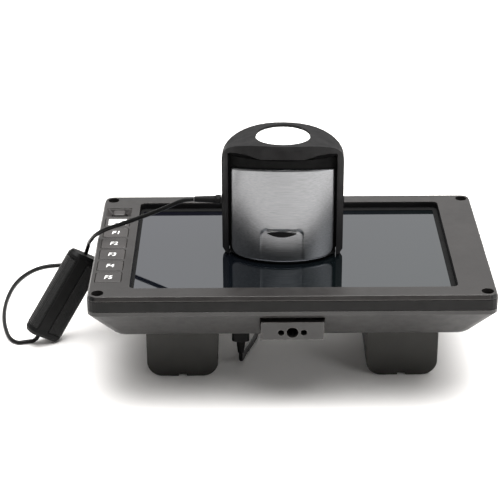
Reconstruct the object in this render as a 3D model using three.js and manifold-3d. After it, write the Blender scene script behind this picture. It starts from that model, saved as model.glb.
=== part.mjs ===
// A seven-inch field monitor lying face up on its two battery packs, with a display colorimeter
// standing on its glass and plugged into it. Millimetres, +Z up. The origin is on the table, under
// the middle of the monitor; X runs along the wide side and -Y is the side with the mounting block.
import * as THREE from 'three';
import { mergeVertices } from 'three/addons/utils/BufferGeometryUtils.js';
import Module from 'manifold-3d';

const wasm = await Module();
wasm.setup();

// ---- driving dimensions -------------------------------------------------------------------
const GAP = 0.3; // air between pieces that touch
const TOP = 68.2; // height of the monitor's face above the table

const BODY = { width: 208.4, depth: 125.8, corner: 5 };
const BEVEL = { side: 1, down: 2 }; // round the face's outer edge
const WINDOW = { x: 0.8, y: 0.6, width: 168, depth: 105.8, corner: 3 };
const LEVEL = { bezel: -2.3, frame: -8.1, flange: -10.6, back: -29 }; // lower faces
const SLOPE_INSET = { x: 11, y: 14 }; // how far the sloping sides run in
const WALL = 2.5;
const SCREW = { x: 98.8, y: 57.5, well: 3.2, head: 2.7, shank: 1.5 };

const GLASS = { top: -4, thick: 1.8, lip: 1.5 }; // lip: what the bezel covers of it
const KEYS = { x: -94.5, width: 14, depth: 11.7, pitch: 13.5, first: 41.1, travel: 0.8 };
const KEY_NAMES = ['menu_button', 'f1_button', 'f2_button', 'f3_button', 'f4_button', 'f5_button'];

const BATTERY = { width: 38.4, depth: 70.8, height: 38.9, front: -24, corner: 8.5 };
const BATTERY_X = { left: -58.2, right: 60.2 };
const LATCH = { y: -34.5, halfWidth: 5.6, halfDepth: 2.1, travel: 3 };
const MOUNT = { width: 32.2, top: -15.1, bottom: -25.1, front: -62, back: -48, hole: -21, side: 5.8 };
const USB = { x: -26.7, y: -14 };
const BAY = { halfWidth: 44, back: 44.5, low: -24.6, high: -14.2 };

const SENSOR = { x: -3.9, y: -2, turn: -2.5, height: 56.8, pivot: 30.2 };
const SENSOR_FOOT = { halfWidth: 28.1, halfDepth: 16.2, side: 3.2 };
const SENSOR_HEAD = { halfWidth: 28, halfDepth: 10.5, side: 2.4 };
const PLATE = { low: 2, edge: 50.2, crown: 52.4, halfWidth: 27, thick: 1, corner: 5 };
const ARM = { halfWidth: 32.1, inner: 28.6, foot: 1.5, shoulder: 53.3, top: 67.6, chord: 34, bulge: 17.4 };
const DISC = { radius: 14.2, recess: 1.4, thick: 1.1 };

const WEIGHT = { low: [-139.15, 13.3, -62.75], lean: [0.511, 0.24, 0.825], roll: 30, length: 52.8 };
const WEIGHT_HALF = { x: 10.5, y: 5.3, corner: 4 };
const WEIGHT_BORE = 2; // how far behind the middle the lead runs through the weight

const LEAD = 2.3; // diameter of the lead
const LEAD_Z = 1.25 - TOP; // its centreline where it lies on the table
const COIL = { x: -62, y: 92, mean: 12.8, half: 4.8 };

// ---- shapes -------------------------------------------------------------------------------
const centred = (width, depth, x = 0, y = 0) => ({ width, depth, x, y });

function roundedPoints({ width, depth, x = 0, y = 0 }, radius, steps = 4) {
  const points = [];
  const [a, b] = [width / 2 - radius, depth / 2 - radius];
  [[a, b], [-a, b], [-a, -b], [a, -b]].forEach(([cx, cy], quarter) => {
    for (let i = 0; i <= steps; i += 1) {
      const angle = ((quarter + i / steps) * Math.PI) / 2;
      points.push(new THREE.Vector2(x + cx + radius * Math.cos(angle), y + cy + radius * Math.sin(angle)));
    }
  });
  return points;
}

// A plan outline bulging to -Y and +Y between two short straight sides.
function lensPoints(halfWidth, halfDepth, side, steps = 12) {
  const sagitta = halfDepth - side;
  const radius = (halfWidth ** 2 + sagitta ** 2) / (2 * sagitta);
  const points = [];
  for (const sign of [-1, 1]) {
    for (let i = 0; i <= steps; i += 1) {
      const x = sign * halfWidth * (1 - (2 * i) / steps);
      points.push(new THREE.Vector2(x, sign * (Math.sqrt(radius ** 2 - x ** 2) - radius + halfDepth)));
    }
  }
  return points;
}

// A closed body through rings of points, lowest ring first; each ring is {points, z}.
function loft(rings) {
  const count = rings[0].points.length;
  const vertices = rings.flatMap(({ points, z }) => points.flatMap((p) => [p.x, p.y, z]));
  const faces = [];
  for (let r = 0; r + 1 < rings.length; r += 1) {
    for (let i = 0; i < count; i += 1) {
      const [a, b] = [r * count + i, r * count + ((i + 1) % count)];
      faces.push(a, b, b + count, a, b + count, a + count);
    }
  }
  const last = (rings.length - 1) * count;
  for (const [a, b, c] of THREE.ShapeUtils.triangulateShape(rings[0].points, [])) {
    faces.push(c, b, a, last + a, last + b, last + c);
  }
  const geometry = new THREE.BufferGeometry();
  geometry.setAttribute('position', new THREE.Float32BufferAttribute(vertices, 3));
  geometry.setIndex(faces);
  return geometry;
}

function box(x0, x1, y0, y1, z0, z1) {
  const geometry = new THREE.BoxGeometry(x1 - x0, y1 - y0, z1 - z0);
  return geometry.translate((x0 + x1) / 2, (y0 + y1) / 2, (z0 + z1) / 2);
}

// A flat plate between two heights, from an outline and its holes, all lists of points.
function slab(outline, holes, z0, z1) {
  const shape = new THREE.Shape(outline);
  shape.holes = holes.map((points) => new THREE.Path(points));
  return new THREE.ExtrudeGeometry(shape, { depth: z1 - z0, bevelEnabled: false }).translate(0, 0, z0);
}

function circlePoints(x, y, radius, sides = 16) {
  return Array.from({ length: sides }, (_, i) => {
    const angle = (i / sides) * 2 * Math.PI;
    return new THREE.Vector2(x + radius * Math.cos(angle), y + radius * Math.sin(angle));
  });
}

// A body turned about Z from [radius, height] pairs that start and end on the axis.
function turned(profile, sides = 16) {
  const points = profile.map(([radius, height]) => new THREE.Vector2(radius, height));
  return new THREE.LatheGeometry(points, sides).rotateX(Math.PI / 2);
}

function rod(radius, z0, z1, sides = 16) {
  return turned([[0, z0], [radius, z0], [radius, z1], [0, z1]], sides);
}

const alongX = (geometry) => geometry.rotateY(Math.PI / 2);
const alongY = (geometry) => geometry.rotateX(-Math.PI / 2);

// An outline in X and Z made into a body between two depths.
function acrossY(outline, y0, y1) {
  return slab(outline, [], -y1, -y0).rotateX(Math.PI / 2);
}

// ---- cutting and joining ------------------------------------------------------------------
function solid(geometry) {
  const bare = geometry.clone();
  bare.deleteAttribute('normal');
  bare.deleteAttribute('uv');
  const merged = mergeVertices(bare, 1e-4);
  const mesh = new wasm.Mesh({
    numProp: 3,
    vertProperties: new Float32Array(merged.attributes.position.array),
    triVerts: new Uint32Array(merged.index.array),
  });
  return new wasm.Manifold(mesh);
}

function cut(base, ...tools) {
  return tools.reduce((left, tool) => left.subtract(tool), base);
}

function join(...parts) {
  return parts.reduce((whole, part) => whole.add(part));
}

function toGeometry(manifold) {
  const { vertProperties, triVerts } = manifold.getMesh();
  const geometry = new THREE.BufferGeometry();
  geometry.setAttribute('position', new THREE.BufferAttribute(vertProperties, 3));
  geometry.setIndex(new THREE.BufferAttribute(triVerts, 1));
  return geometry.toNonIndexed();
}

// ---- materials ----------------------------------------------------------------------------
const finish = (color, roughness, metalness = 0) => ({ color, roughness, metalness });
const FINISH = {
  bezel: finish('#4a4745', 0.55, 0.3),
  casing: finish('#33322f', 0.6, 0.3),
  key: finish('#45423f', 0.6),
  glass: finish('#5d6068', 0.05),
  panel: finish('#0b0c0e', 0.4),
  board: finish('#1d4a2c', 0.5),
  steel: finish('#8d8f92', 0.35, 1),
  metal: finish('#a6a8aa', 0.4, 1),
  battery: finish('#2e2d2b', 0.55),
  black: finish('#141414', 0.5),
  rubber: finish('#101010', 0.7),
  silver: finish('#b4b4b3', 0.35, 0.9),
  white: finish('#f4f4f2', 0.5),
  lens: finish('#9fb4c4', 0.05),
};

function piece(parent, name, geometry, look) {
  const shape = geometry.isBufferGeometry ? geometry : toGeometry(geometry);
  shape.computeVertexNormals();
  const mesh = new THREE.Mesh(shape, new THREE.MeshStandardMaterial(FINISH[look]));
  mesh.name = name;
  parent.add(mesh);
  return mesh;
}

const keyY = (slot) => KEYS.first - KEYS.pitch * slot;
const keyHole = (slot, grow = 0) => centred(KEYS.width + grow, KEYS.depth + grow, KEYS.x, keyY(slot));
const corners = [[-1, -1], [1, -1], [-1, 1], [1, 1]].map(([a, b]) => [a * SCREW.x, b * SCREW.y]);

// ---- monitor: housing ---------------------------------------------------------------------
function addFrontBezel(parent) {
  const holes = [roundedPoints(WINDOW, WINDOW.corner)];
  for (let slot = 0; slot <= KEY_NAMES.length; slot += 1) holes.push(roundedPoints(keyHole(slot), 1, 2));
  corners.forEach(([x, y]) => holes.push(circlePoints(x, y, SCREW.well)));
  const face = solid(slab(roundedPoints(BODY, BODY.corner), holes, LEVEL.bezel, 0));
  const { width, depth, x, y } = WINDOW;
  const lip = roundedPoints(centred(width + 3.2, depth + 3.2, x, y), WINDOW.corner, 4);
  const skirt = solid(slab(lip, [roundedPoints(WINDOW, WINDOW.corner)], GLASS.top + GAP, -1));
  const ring = (z) => {
    const shrink = BEVEL.side * (1 + z / BEVEL.down);
    const size = centred(BODY.width - 2 * shrink, BODY.depth - 2 * shrink);
    return { points: roundedPoints(size, BODY.corner - shrink), z };
  };
  const bevelled = solid(loft([ring(-10), ring(0)]));
  piece(parent, 'front_bezel', join(face.intersect(bevelled), skirt), 'bezel');
}

function addChassisFrame(parent) {
  const glassHole = centred(WINDOW.width + 4, WINDOW.depth + 4, WINDOW.x, WINDOW.y);
  const keyRoom = centred(15.1, 7 * KEYS.pitch + 1, KEYS.x, keyY(3));
  const holes = [roundedPoints(glassHole, 2, 2), roundedPoints(keyRoom, 1, 2)];
  corners.forEach(([x, y]) => holes.push(circlePoints(x, y, SCREW.shank + 0.3, 12)));
  const low = LEVEL.frame;
  const plate = solid(slab(roundedPoints(BODY, BODY.corner), holes, low, LEVEL.bezel - GAP));
  const wells = corners.map(([x, y]) => solid(rod(SCREW.well, -7.2, 0).translate(x, y, 0)));
  piece(parent, 'chassis_frame', cut(plate, ...wells), 'casing');
}

// The rear casing's outer surface, or the same surface moved in by some distance.
function casingBody(inset, top, bottom) {
  const ring = (x, y, z, radius) => {
    const size = centred(BODY.width - 2 * (x + inset), BODY.depth - 2 * (y + inset));
    return { points: roundedPoints(size, radius), z };
  };
  const { x, y } = SLOPE_INSET;
  return loft([
    ring(x + 1, y + 1, bottom, 6),
    ring(x, y, bottom + 1, 6),
    ring(0, 0, LEVEL.flange - inset * 0.4, BODY.corner),
    ring(0, 0, top, BODY.corner),
  ]);
}

const batteryMiddle = BATTERY.front + BATTERY.depth / 2;

function addRearCasing(parent) {
  const shell = cut(
    solid(casingBody(0, LEVEL.frame - GAP, LEVEL.back)),
    solid(casingBody(WALL, 0, LEVEL.back + WALL)),
  );
  const posts = corners.map(([x, y]) => {
    const post = solid(rod(3.4, -15, LEVEL.frame - GAP, 12).translate(x, y, 0));
    return post.intersect(solid(casingBody(0.5, LEVEL.frame - GAP, LEVEL.back)));
  });
  const holes = corners.map(([x, y]) => solid(rod(SCREW.shank + 0.3, -14, 0, 12).translate(x, y, 0)));
  const plates = Object.values(BATTERY_X).map((x) => {
    const window = centred(41, 74, x, batteryMiddle);
    return solid(slab(roundedPoints(window, 2, 2), [], LEVEL.back - 1, LEVEL.back + WALL + 1));
  });
  const half = MOUNT.width / 2 + 0.4;
  const pocket = solid(box(-half, half, -80, MOUNT.back + 0.4, MOUNT.bottom - 0.4, MOUNT.top + 2.2));
  const socket = solid(box(USB.x - 3.6, USB.x + 3.6, USB.y - 7.4, USB.y + 7.4, -40, -20));
  const bay = solid(box(-BAY.halfWidth, BAY.halfWidth, BAY.back, 80, BAY.low, BAY.high));
  const latches = Object.values(BATTERY_X).map((x) => {
    const [half, back] = [LATCH.halfWidth + 0.4, LATCH.y + LATCH.halfDepth + 0.4];
    return solid(box(x - half, x + half, back - LATCH.travel - 2 * LATCH.halfDepth - 0.8, back, -40, -20));
  });
  const vents = [];
  for (let i = 0; i < 7; i += 1) {
    vents.push(solid(box(8, 36, -34 + i * 5, -31.5 + i * 5, -40, -20)));
  }
  const all = [...holes, ...plates, pocket, socket, bay, ...latches, ...vents];
  piece(parent, 'rear_casing', cut(join(shell, ...posts), ...all), 'casing');
}

function addScrews(parent) {
  corners.forEach(([x, y], i) => {
    const body = solid(turned([[0, -13.6], [SCREW.shank, -13.6], [SCREW.shank, -6.9], [SCREW.head, -6.9],
      [SCREW.head, -4.4], [0, -4.4]]));
    const hexagon = solid(rod(1.45, -6, 0, 6));
    const screw = piece(parent, `bezel_screw_${i + 1}`, cut(body, hexagon), 'steel');
    screw.position.set(x, y, 0);
  });
}

function addMountBlock(parent) {
  const half = MOUNT.width / 2;
  const block = solid(box(-half, half, MOUNT.front, MOUNT.back, MOUNT.bottom, MOUNT.top));
  const bore = (x, radius, depth) => {
    const tool = alongY(rod(radius, -1, depth, 20));
    return solid(tool.translate(x, MOUNT.front, MOUNT.hole));
  };
  const holes = [bore(0, 3.05, 10), bore(-MOUNT.side, 1.7, 5), bore(MOUNT.side, 1.7, 5)];
  piece(parent, 'mount_block', cut(block, ...holes), 'casing');
}

// ---- monitor: screen and electronics ------------------------------------------------------
function addScreen(parent) {
  const wide = WINDOW.width + 2 * GLASS.lip;
  const deep = WINDOW.depth + 2 * GLASS.lip;
  const glass = centred(wide, deep, WINDOW.x, WINDOW.y);
  const low = GLASS.top - GLASS.thick;
  piece(parent, 'cover_glass', slab(roundedPoints(glass, 1.5, 2), [], low, GLASS.top), 'glass');
  const panel = centred(wide - 3, deep - 3, WINDOW.x, WINDOW.y);
  piece(parent, 'lcd_panel', slab(roundedPoints(panel, 1, 1), [], low - 2.4, low - GAP), 'panel');
  const tray = slab(roundedPoints(panel, 1, 1), [], low - 5.6, low - 2.7);
  piece(parent, 'backlight_tray', tray, 'metal');
}

function addBoards(parent) {
  const board = solid(box(-76, 76, -42, 35, -16.4, -14.8));
  const chips = [[-60, -30, 14, 14, 1.4], [-30, 18, 10, 16, 1.2], [48, 20, 12, 8, 2], [56, -24, 8, 12, 1.6]];
  const blocks = chips.map(([x, y, w, d, h]) => solid(box(x, x + w, y, y + d, -15, -14.8 + h)));
  piece(parent, 'main_board', join(board, ...blocks), 'board');

  const base = solid(box(6, 38, -36, 4, -18.4, -16.7));
  const fins = [];
  for (let i = 0; i < 7; i += 1) fins.push(solid(box(7 + i * 4.7, 8.4 + i * 4.7, -36, 4, -24, -18)));
  piece(parent, 'heat_sink', join(base, ...fins), 'metal');

  const keys = centred(14, 7 * KEYS.pitch - 2, KEYS.x, keyY(3));
  piece(parent, 'button_board', slab(roundedPoints(keys, 1, 1), [], -8.2, -6.8), 'board');
}

// ---- monitor: keys ------------------------------------------------------------------------
function addKeys(parent) {
  KEY_NAMES.forEach((name, i) => {
    const cap = (shrink, top) => ({
      points: roundedPoints(keyHole(i + 1, -2 * GAP - shrink), 0.9, 2), z: top,
    });
    const crown = solid(loft([cap(0, -4.6), cap(0, -0.2), cap(0.6, 0.2)]));
    const flange = solid(slab(roundedPoints(keyHole(i + 1, 0.9), 0.9, 2), [], -5.2, LEVEL.bezel - 0.4));
    piece(parent, name, join(crown, flange), 'key');
  });
}

// A square thumb stick that presses and tilts both ways in a shallow well.
function addJoystick(parent) {
  const group = new THREE.Group();
  group.position.set(KEYS.x, keyY(0), 0);
  parent.add(group);
  const well = roundedPoints(centred(13.2, 10.9), 0.9, 2);
  const hole = circlePoints(0, 0, 2.6, 12);
  piece(group, 'joystick_carrier', slab(well, [hole], -4.9, -3.9), 'black');
  const ring = solid(slab(circlePoints(0, 0, 2.2, 12), [circlePoints(0, 0, 1.25, 12)], -4.9, -3.9));
  piece(group, 'joystick_gimbal', ring, 'black');
  const cap = loft([
    { points: roundedPoints(centred(5, 5), 0.8, 2), z: -3.2 },
    { points: roundedPoints(centred(6.6, 6.6), 1, 2), z: -2.2 },
    { points: roundedPoints(centred(6.2, 6.2), 1, 2), z: -0.3 },
    { points: roundedPoints(centred(4.6, 4.6), 1, 2), z: 0.1 },
  ]);
  piece(group, 'joystick_cap', join(solid(cap), solid(rod(0.9, -5, -3, 12))), 'key');
}

// ---- monitor: power -----------------------------------------------------------------------
function addBattery(parent, side) {
  const x = BATTERY_X[side];
  const plate = roundedPoints(centred(40.4, 73.4, x, batteryMiddle), 1.7, 2);
  const rails = [-1, 1].map((s) => {
    const slot = centred(3, 40, x + s * 14, batteryMiddle);
    return roundedPoints(slot, 1, 2);
  });
  piece(parent, `battery_plate_${side}`, slab(plate, rails, LEVEL.back, LEVEL.back + WALL), 'black');

  const half = BATTERY.width / 2;
  const top = LEVEL.back - GAP;
  const low = top - BATTERY.height;
  const outline = new THREE.Shape();
  outline.moveTo(x - half, top - 1.5);
  outline.lineTo(x - half, low + BATTERY.corner);
  outline.absarc(x - half + BATTERY.corner, low + BATTERY.corner, BATTERY.corner, Math.PI, 1.5 * Math.PI);
  outline.absarc(x + half - BATTERY.corner, low + BATTERY.corner, BATTERY.corner, 1.5 * Math.PI, 0);
  outline.lineTo(x + half, top - 1.5);
  outline.absarc(x + half - 1.5, top - 1.5, 1.5, 0, Math.PI / 2);
  outline.absarc(x - half + 1.5, top - 1.5, 1.5, Math.PI / 2, Math.PI);
  const back = BATTERY.front + BATTERY.depth;
  const body = solid(acrossY(outline.getPoints(6), BATTERY.front, back));
  const notch = solid(box(x - 2.15, x + 2.15, BATTERY.front - 1, BATTERY.front + 3, low - 1, low + 1.3));
  piece(parent, `battery_${side}`, cut(body, notch), 'battery');
}

// A thumb slide in front of each battery, with a keeper that holds it inside the casing.
function addLatch(parent, side) {
  const { y, halfWidth, halfDepth } = LATCH;
  const bar = (halfX, front, back, z0, z1) =>
    solid(box(BATTERY_X[side] - halfX, BATTERY_X[side] + halfX, y - front, y + back, z0, z1));
  const slide = bar(halfWidth, halfDepth, halfDepth, LEVEL.back - 1.4, LEVEL.back + 1.5);
  const stem = bar(halfWidth - 1.5, 1.5, 1.5, LEVEL.back, LEVEL.back + 3.4);
  const keeper = bar(7.5, 6.1, 4.7, LEVEL.back + WALL + GAP, LEVEL.back + 4);
  piece(parent, `battery_latch_${side}`, join(slide, stem, keeper), 'rubber');
}

// ---- monitor: sockets ---------------------------------------------------------------------
function addConnectorBay(parent) {
  const wall = 2;
  const outer = box(-BAY.halfWidth - wall, BAY.halfWidth + wall, BAY.back - wall, 80,
    BAY.low - 1.6, BAY.high + 1.3);
  const inner = solid(box(-BAY.halfWidth, BAY.halfWidth, BAY.back, 90, BAY.low, BAY.high));
  const room = solid(casingBody(WALL + GAP, LEVEL.frame - GAP, LEVEL.back + WALL + GAP));
  const middle = (BAY.low + BAY.high) / 2;
  const round = (x, radius) => solid(alongY(rod(radius, 0, 90, 16)).translate(x, 20, middle));
  const holes = [round(-34, 4.6), round(-17, 4.6), round(21, 3.2), round(34, 4.2)];
  holes.push(solid(box(-5.4, 10.4, 20, 90, middle - 3.3, middle + 3.3)));
  piece(parent, 'connector_bay', cut(solid(outer).intersect(room), inner, ...holes), 'black');

  const place = (name, profile, x, look) => {
    const socket = piece(parent, name, alongY(turned(profile)), look);
    socket.position.set(x, BAY.back, middle);
  };
  const video = [[0, -5], [4.2, -5], [4.2, 0.4], [4.8, 0.4], [4.8, 10.5], [4, 10.5], [4, 2], [1, 2],
    [1, 9], [0, 9]];
  place('video_socket_in', video, -34, 'steel');
  place('video_socket_out', video, -17, 'steel');
  const phones = [[0, -5], [2.8, -5], [2.8, 2], [1.8, 2], [1.8, -4], [0, -4]];
  place('headphone_socket', phones, 21, 'rubber');
  const power = [[0, -5], [3.8, -5], [3.8, 3], [2.8, 3], [2.8, -3], [1, -3], [1, 2], [0, 2]];
  place('power_socket', power, 34, 'rubber');

  const [x0, x1] = [-5, 10];
  const shell = solid(box(x0, x1, 36, BAY.back + 2, middle - 2.9, middle + 2.9));
  const mouth = solid(box(x0 + 0.6, x1 - 0.6, 38, 60, middle - 2.3, middle + 2.3));
  const tongue = solid(box(x0 + 2, x1 - 2, 37, BAY.back + 1, middle - 0.6, middle + 0.6));
  piece(parent, 'hdmi_socket', join(cut(shell, mouth), tongue), 'steel');
}

function addUsb(parent) {
  const around = (halfX, halfY, z0, z1) =>
    solid(box(USB.x - halfX, USB.x + halfX, USB.y - halfY, USB.y + halfY, z0, z1));
  const shell = cut(around(3.2, 7, LEVEL.back, -17), around(2.6, 6.35, -40, -17.6));
  piece(parent, 'usb_socket', join(shell, around(0.6, 5, -27, -17.3)), 'steel');
  const metal = cut(around(2.25, 6, LEVEL.back - 0.6, -18.4), around(1.6, 5.4, -40, 0));
  piece(parent, 'usb_plug_shell', metal, 'steel');
  const ring = (width, depth, z) => ({ points: roundedPoints(centred(width, depth, USB.x, USB.y), 2, 3), z });
  const body = loft([ring(5.4, 8, -51), ring(9.4, 15, -48.6), ring(9.4, 16.4, -42), ring(9.4, 16.4, -30.6),
    ring(8.4, 15.4, LEVEL.back - 0.9)]);
  piece(parent, 'usb_plug_body', body, 'rubber');
  const relief = turned([[0, -59], [1.7, -59], [2.6, -51.3], [0, -51.3]], 12);
  piece(parent, 'plug_strain_relief', relief.translate(USB.x, USB.y, 0), 'rubber');
}

// ---- colorimeter --------------------------------------------------------------------------
// The sensor's outer surface moved out by some distance, between two heights above the glass.
function sensorBody(out, z0, z1) {
  const ring = (z) => {
    const t = z / SENSOR.height;
    const mix = (key) => SENSOR_FOOT[key] + (SENSOR_HEAD[key] - SENSOR_FOOT[key]) * t;
    return { points: lensPoints(mix('halfWidth') + out, mix('halfDepth') + out, mix('side') + out), z };
  };
  return solid(loft([ring(z0), ring(z1)]));
}

function addSensorCase(parent) {
  const shell = cut(sensorBody(0, 3, SENSOR.height), sensorBody(-2.2, -1, SENSOR.height - 2.2));
  const axis = solid(alongX(rod(2.8, -40, 40, 12)).translate(0, 0, SENSOR.pivot));
  piece(parent, 'sensor_shell', cut(shell, axis), 'black');

  const hole = solid(rod(9, -5, 8, 20));
  piece(parent, 'foam_pad', cut(sensorBody(-0.8, GAP, 1.2), hole), 'rubber');
  const barrel = solid(rod(10.4, 2, 20, 20));
  const bore = solid(rod(8.6, -5, 30, 20));
  piece(parent, 'sensor_base', cut(join(sensorBody(0.2, 1.5, 2.7), barrel), bore), 'black');

  const lens = turned([[0, 4], [5, 4.5], [8.2, 6], [8.2, 7.4], [5, 8.6], [0, 9]], 20);
  piece(parent, 'sensor_lens', lens, 'lens');
  const board = solid(box(-17, 17, -5, 5, 20.6, 22.2));
  const chip = solid(box(-5, 5, -4, 4, 22, 24));
  piece(parent, 'sensor_board', join(board, chip), 'board');
}

// A curved cover plate on one long side of the sensor; side is -1 in front and 1 behind.
function coverPlate(side) {
  const outline = new THREE.Shape();
  const { low, edge, crown, halfWidth, corner } = PLATE;
  outline.moveTo(-halfWidth, edge);
  outline.lineTo(-halfWidth, low + corner);
  outline.absarc(-halfWidth + corner, low + corner, corner, Math.PI, 1.5 * Math.PI);
  outline.absarc(halfWidth - corner, low + corner, corner, 1.5 * Math.PI, 0);
  outline.lineTo(halfWidth, edge);
  outline.quadraticCurveTo(0, 2 * crown - edge, -halfWidth, edge);
  const [y0, y1] = side < 0 ? [-30, -1] : [1, 30];
  const sheet = cut(sensorBody(GAP + PLATE.thick, 0, 56), sensorBody(GAP, -1, 57));
  return sheet.intersect(solid(acrossY(outline.getPoints(8), y0, y1)));
}

function addSensorPlates(parent) {
  const recess = cut(solid(acrossY(roundedPoints(centred(23, 40), 4), -30, 0)), sensorBody(GAP + PLATE.thick / 2, -5, 59));
  const slot = new THREE.Shape();
  slot.moveTo(-8, 17.3);
  slot.quadraticCurveTo(0, 14.3, 8, 17.3);
  slot.quadraticCurveTo(0, 20.3, -8, 17.3);
  const slit = solid(acrossY(slot.getPoints(6).slice(0, -1), -30, 0));
  piece(parent, 'front_plate', cut(coverPlate(-1), recess, slit), 'silver');
  piece(parent, 'rear_plate', coverPlate(1), 'black');
}

function addPivots(parent) {
  const bore = (x) => alongX(rod(2.5, -3.3, 3.3, 12)).translate(x, 0, SENSOR.pivot);
  piece(parent, 'pivot_pin_left', bore(-29.2), 'black');
  piece(parent, 'pivot_pin_right', bore(29.2), 'black');
  const boot = turned([[0, 0], [2.6, 0], [2.6, 2.2], [2, 3], [1.55, 14], [0, 14]], 12);
  piece(parent, 'cable_boot', boot.rotateY(-Math.PI / 2).translate(-32.8, 0, SENSOR.pivot), 'rubber');
}

// The height of the arm's crest at a distance from its middle.
function armCrest(x) {
  const squareness = 2.65;
  const share = (1 - Math.abs(x / ARM.halfWidth) ** squareness) ** (1 / squareness);
  return ARM.shoulder + (ARM.top - ARM.shoulder) * share;
}

function addArm(parent) {
  const outline = [new THREE.Vector2(-ARM.halfWidth, ARM.foot + 2), new THREE.Vector2(-30.4, ARM.foot),
    new THREE.Vector2(30.4, ARM.foot), new THREE.Vector2(ARM.halfWidth, ARM.foot + 2)];
  const steps = 22;
  for (let i = 0; i <= steps; i += 1) {
    const x = ARM.halfWidth * Math.cos((i / steps) * Math.PI);
    outline.push(new THREE.Vector2(x, armCrest(x)));
  }
  const lens = lensPoints(ARM.chord, ARM.bulge, 0.4, 16);
  const block = solid(acrossY(outline, -25, 25)).intersect(solid(slab(lens, [], 0, 80)));
  const sweep = turned([[0, -28.6], [30, -28.6], [32.5, -24], [33.7, -18], [33.7, 18], [32.5, 24],
    [30, 28.6], [0, 28.6]], 32);
  const room = solid(alongX(sweep).translate(0, 0, SENSOR.pivot));
  const between = solid(box(-ARM.inner, ARM.inner, -30, 30, -5, SENSOR.pivot));
  const pins = solid(alongX(rod(2.8, -40, 40, 12)).translate(0, 0, SENSOR.pivot));
  const seat = solid(rod(DISC.radius + GAP, ARM.top - DISC.recess - DISC.thick, 80, 32));
  const thumb = solid(box(-12, 12, -30, -16, 58, 65.3));
  piece(parent, 'diffuser_arm', cut(block, room, between, pins, seat, thumb), 'black');
  const disc = rod(DISC.radius, ARM.top - DISC.recess - DISC.thick + GAP, ARM.top - DISC.recess, 32);
  piece(parent, 'diffuser_disc', disc, 'white');
}

// ---- counterweight on the lead ------------------------------------------------------------
const weightAxis = new THREE.Vector3(...WEIGHT.lean).normalize();
const weightLow = new THREE.Vector3(...WEIGHT.low);
const weightTop = weightLow.clone().addScaledVector(weightAxis, WEIGHT.length);
const weightTurn = new THREE.Quaternion().setFromUnitVectors(new THREE.Vector3(0, 0, 1), weightAxis);
const weightRoll = THREE.MathUtils.degToRad(WEIGHT.roll);
weightTurn.multiply(new THREE.Quaternion().setFromAxisAngle(new THREE.Vector3(0, 0, 1), weightRoll));

function addCounterweight(parent) {
  const group = new THREE.Group();
  group.position.copy(weightLow).add(weightTop).multiplyScalar(0.5);
  group.quaternion.copy(weightTurn);
  parent.add(group);

  const body = (inset, halfLength, taper) => {
    const ring = (z, extra) => {
      const size = centred(2 * (WEIGHT_HALF.x - inset - extra), 2 * (WEIGHT_HALF.y - inset - extra));
      return { points: roundedPoints(size, Math.max(1, WEIGHT_HALF.corner - inset - extra), 3), z };
    };
    const full = halfLength - taper;
    return solid(loft([ring(-halfLength, taper * 0.6), ring(-full, 0), ring(full, 0), ring(halfLength, taper * 0.6)]));
  };
  // Each grip covers one narrow side and the half of the broad face beside it.
  const gripHalf = WEIGHT.length / 2 - 4.4;
  const zone = (turn, grow) => {
    const half = gripHalf + grow;
    const face = solid(box(-grow, 20, -20, 0, -half, half));
    const side = solid(box(7.6 - grow, 20, -20, 20, -half, half));
    return cut(join(face, side), body(1.6 + grow, 40, 0)).rotate([0, 0, turn]);
  };
  const channel = solid(rod(1.6, -50, 50, 12).translate(0, WEIGHT_BORE, 0));
  const inside = WEIGHT.length / 2 - 4;
  const full = body(0, WEIGHT.length / 2, 2);
  const shell = cut(full, zone(180, GAP), zone(0, GAP), body(2.9, inside, 0), channel);
  piece(group, 'weight_front_shell', shell.intersect(solid(box(-20, 20, -20, -0.15, -50, 50))), 'rubber');
  piece(group, 'weight_rear_shell', shell.intersect(solid(box(-20, 20, 0.15, 20, -50, 50))), 'rubber');
  for (const [name, turn] of [['weight_grip_left', 180], ['weight_grip_right', 0]]) {
    piece(group, name, body(-0.15, WEIGHT.length / 2 - 1, 2).intersect(zone(turn, 0)), 'rubber');
  }
  piece(group, 'weight_slug', cut(body(3.3, inside - 0.5, 0), channel), 'steel');
}

// ---- the lead -----------------------------------------------------------------------------
function tube(points, steps) {
  const curve = new THREE.CatmullRomCurve3(points.map((p) => new THREE.Vector3(...p)), false, 'centripetal');
  const section = new THREE.Shape(circlePoints(0, 0, LEAD / 2, 8));
  return new THREE.ExtrudeGeometry(section, { extrudePath: curve, steps, bevelEnabled: false });
}

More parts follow.
